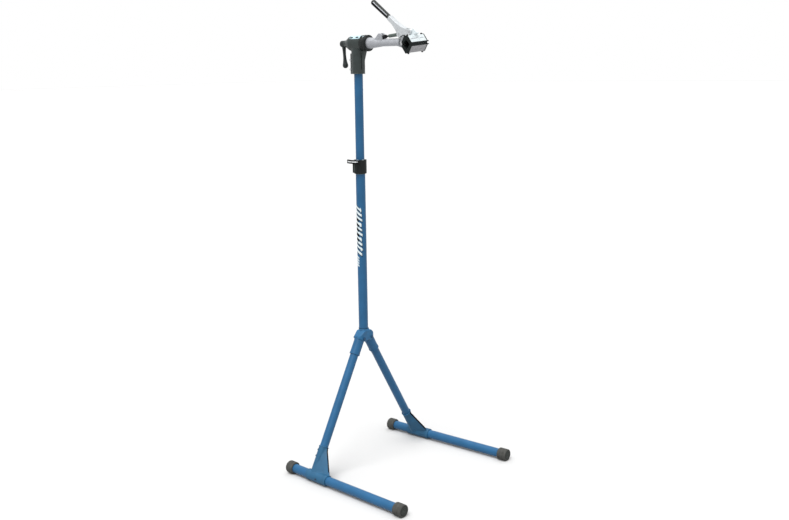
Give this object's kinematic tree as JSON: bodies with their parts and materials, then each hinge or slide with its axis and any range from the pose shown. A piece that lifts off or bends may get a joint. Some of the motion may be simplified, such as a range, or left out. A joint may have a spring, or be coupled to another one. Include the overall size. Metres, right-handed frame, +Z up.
{
  "type": "bike repair stand",
  "caption": "Folding bike repair stand with splayed legs on long floor bars, a telescoping swivelling mast and a turning linkage clamp for a seat post or frame tube.",
  "frame": {"origin": "centre of the footprint, on the floor", "axes": "+Z up; +X from the mast towards the clamp jaws and the long ends of the floor bars; +Y towards the right-hand leg"},
  "size_m": [0.5268, 0.6012, 1.5612],
  "materials": {
    "blue_paint": "semi-gloss powder coat",
    "dark_fasteners": "satin",
    "zinc_steel": "satin",
    "black_plastic": "satin",
    "black_lever": "semi-gloss",
    "cap_rubber": "matte",
    "nylon": "matte",
    "dark_casting": "satin",
    "handle_plastic": "satin",
    "silver_casting": "satin",
    "black_rubber": "matte",
    "grey_barrel": "satin",
    "knob_steel": "satin"
  },
  "bodies": {
    "base": {"lower_tube": "blue_paint", "yoke_casting": "blue_paint", "leg_pivot_bolts": "dark_fasteners", "leg_pivot_nuts": "dark_fasteners", "quick_release_collar": "black_plastic", "collar_bolt": "zinc_steel"},
    "collar_lever": {"collar_lever": "black_lever"},
    "left_leg": {"left_leg_sleeve": "blue_paint", "left_leg_tube": "blue_paint", "left_boot": "blue_paint", "left_boot_rivets": "dark_fasteners", "left_base_bar": "blue_paint", "left_front_cap": "cap_rubber", "left_rear_cap": "cap_rubber"},
    "right_leg": {"right_leg_sleeve": "blue_paint", "right_leg_tube": "blue_paint", "right_boot": "blue_paint", "right_boot_rivets": "dark_fasteners", "right_base_bar": "blue_paint", "right_front_cap": "cap_rubber", "right_rear_cap": "cap_rubber"},
    "glide": {"glide_bush": "nylon"},
    "mast": {"tube_end_plug": "nylon", "glide_washer": "zinc_steel", "glide_screw": "zinc_steel", "upper_tube": "blue_paint", "head_casting": "dark_casting", "socket_bolts": "zinc_steel", "head_flange_ring": "dark_casting", "front_bushing": "nylon", "rear_bushing": "nylon"},
    "lock_handle": {"lock_handle": "handle_plastic", "lock_nut": "zinc_steel", "lock_washer": "zinc_steel"},
    "clamp_arm": {"clamp_arm": "silver_casting", "spindle_shaft": "zinc_steel", "tension_stud": "zinc_steel", "thrust_washer": "nylon", "boss_pin": "zinc_steel", "jaw_pivot_pin": "zinc_steel", "lower_jaw": "silver_casting", "lower_jaw_cover": "black_rubber"},
    "upper_jaw": {"upper_jaw": "silver_casting", "upper_jaw_cover": "black_rubber", "handle_pivot_pin": "zinc_steel"},
    "clamp_handle": {"clamp_handle": "silver_casting", "handle_grip": "black_rubber", "link_pin": "zinc_steel"},
    "toggle_link": {"link_rod": "zinc_steel", "link_barrel": "grey_barrel"},
    "adjusting_knob": {"adjusting_knob": "knob_steel"}
  },
  "joints": [
    {"name": "left_leg_fold", "type": "hinge", "parent": "base", "child": "left_leg", "pos_m": [-0.1489, -0.0195, 0.4385], "axis": [1, 0, 0], "range_deg": [0, 29]},
    {"name": "right_leg_fold", "type": "hinge", "parent": "base", "child": "right_leg", "pos_m": [-0.1489, 0.0195, 0.4385], "axis": [-1, 0, 0], "range_deg": [0, 29]},
    {"name": "collar_lever_open", "type": "hinge", "parent": "base", "child": "collar_lever", "pos_m": [-0.1344, -0.0255, 1.0445], "axis": [0, 0, 1], "range_deg": [0, 135]},
    {"name": "height_slide", "type": "slide", "parent": "base", "child": "glide", "axis": [0, 0, 1], "range_m": [-0.279, 0.097]},
    {"name": "mast_swivel", "type": "hinge", "parent": "glide", "child": "mast", "pos_m": [-0.1489, 0, 0.835], "axis": [0, 0, 1], "continuous": true},
    {"name": "lock_handle_turn", "type": "hinge", "parent": "mast", "child": "lock_handle", "pos_m": [-0.2069, 0, 1.4275], "axis": [1, 0, 0], "continuous": true},
    {"name": "clamp_rotation", "type": "hinge", "parent": "mast", "child": "clamp_arm", "pos_m": [-0.1489, 0, 1.4275], "axis": [1, 0, 0], "continuous": true},
    {"name": "clamp_handle_lift", "type": "hinge", "parent": "upper_jaw", "child": "clamp_handle", "pos_m": [0.0771, -0.00262, 1.45739], "axis": [0, 0.9962, 0.0872], "range_deg": [0, 71]},
    {"name": "upper_jaw_open", "type": "hinge", "parent": "clamp_arm", "child": "upper_jaw", "pos_m": [0.0471, 0.00026, 1.42451], "axis": [0, 0.9962, 0.0872], "range_deg": [-30, 0]},
    {"name": "toggle_link_swing", "type": "hinge", "parent": "clamp_arm", "child": "toggle_link", "pos_m": [-0.0489, -0.00146, 1.44414], "axis": [0, 0.9962, 0.0872], "range_deg": [-29, 0]},
    {"name": "adjusting_knob_turn", "type": "hinge", "parent": "toggle_link", "child": "adjusting_knob", "pos_m": [-0.02898, -0.00161, 1.44586], "axis": [0.9962, -0.0075, 0.0862], "continuous": true}
  ],
  "couplings": [
    {"joint": "upper_jaw_open", "follows": "clamp_handle_lift", "ratio": -0.42094},
    {"joint": "toggle_link_swing", "follows": "clamp_handle_lift", "ratio": -0.40648}
  ]
}
